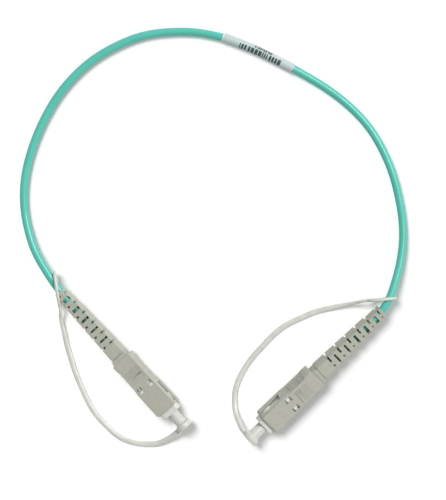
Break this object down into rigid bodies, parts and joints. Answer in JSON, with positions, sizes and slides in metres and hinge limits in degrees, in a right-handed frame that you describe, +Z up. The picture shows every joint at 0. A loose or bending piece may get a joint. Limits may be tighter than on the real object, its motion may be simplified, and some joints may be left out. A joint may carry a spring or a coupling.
{
  "type": "fiber optic patch cord",
  "caption": "Simplex fibre optic patch cord: a round cable laid in an open bow, with a square push-pull plug, slotted boot and tethered dust cap on each end.",
  "frame": {"origin": "middle of the footprint of the plugs, boots and caps, on the surface that the cord lies on", "axes": "+X from the left plug to the right plug, +Y towards the cable's bow, +Z up"},
  "size_m": [0.1463, 0.1586, 0.0103],
  "materials": {
    "beige_housing": "moulded satin",
    "white_frame": "moulded satin",
    "zirconia": "polished",
    "nickel_brass": "nickel plated",
    "spring_steel": "drawn wire",
    "black_resin": "moulded",
    "white_tube": "extruded",
    "crimp_aluminium": "plain",
    "beige_boot": "soft moulded",
    "cap_polyethylene": "translucent moulded",
    "aqua_jacket": "extruded satin",
    "aramid": "fibre bundle",
    "fiber_buffer": "extruded",
    "label_film": "printed",
    "clear_sleeve": "clear"
  },
  "bodies": {
    "root": {"left_plug_frame": "white_frame", "left_spring": "spring_steel", "left_rear_body": "black_resin", "left_inner_tube": "white_tube", "left_crimp_sleeve": "crimp_aluminium", "left_boot": "beige_boot", "left_cap_tether": "cap_polyethylene", "right_plug_frame": "white_frame", "right_spring": "spring_steel", "right_rear_body": "black_resin", "right_inner_tube": "white_tube", "right_crimp_sleeve": "crimp_aluminium", "right_boot": "beige_boot", "right_cap_tether": "cap_polyethylene", "cable_jacket": "aqua_jacket", "aramid_yarn": "aramid", "buffered_fiber": "fiber_buffer", "label_paper": "label_film", "label_sleeve": "clear_sleeve"},
    "left_grip_body": {"left_grip": "beige_housing"},
    "left_ferrule_body": {"left_ferrule": "zirconia", "left_ferrule_flange": "nickel_brass"},
    "left_cap_body": {"left_dust_cap": "cap_polyethylene"},
    "right_grip_body": {"right_grip": "beige_housing"},
    "right_ferrule_body": {"right_ferrule": "zirconia", "right_ferrule_flange": "nickel_brass"},
    "right_cap_body": {"right_dust_cap": "cap_polyethylene"}
  },
  "joints": [
    {"name": "left_grip_slide", "type": "slide", "parent": "root", "child": "left_grip_body", "axis": [0.6782, -0.7349, 0], "range_m": [0, 0.0014]},
    {"name": "left_ferrule_float", "type": "slide", "parent": "root", "child": "left_ferrule_body", "axis": [-0.6782, 0.7349, 0], "range_m": [0, 0.001], "stiffness_N_per_m": 1500, "deforming": ["left_spring"]},
    {"name": "left_cap_pull", "type": "slide", "parent": "root", "child": "left_cap_body", "axis": [0.6782, -0.7349, 0], "range_m": [0, 0.012]},
    {"name": "right_grip_slide", "type": "slide", "parent": "root", "child": "right_grip_body", "axis": [-0.7181, -0.6959, 0], "range_m": [-0.0005, 0.0009]},
    {"name": "right_ferrule_float", "type": "slide", "parent": "root", "child": "right_ferrule_body", "axis": [0.7181, 0.6959, 0], "range_m": [0, 0.001], "stiffness_N_per_m": 1500, "deforming": ["right_spring"]},
    {"name": "right_cap_pull", "type": "slide", "parent": "root", "child": "right_cap_body", "axis": [-0.7181, -0.6959, 0], "range_m": [0, 0.012]}
  ]
}
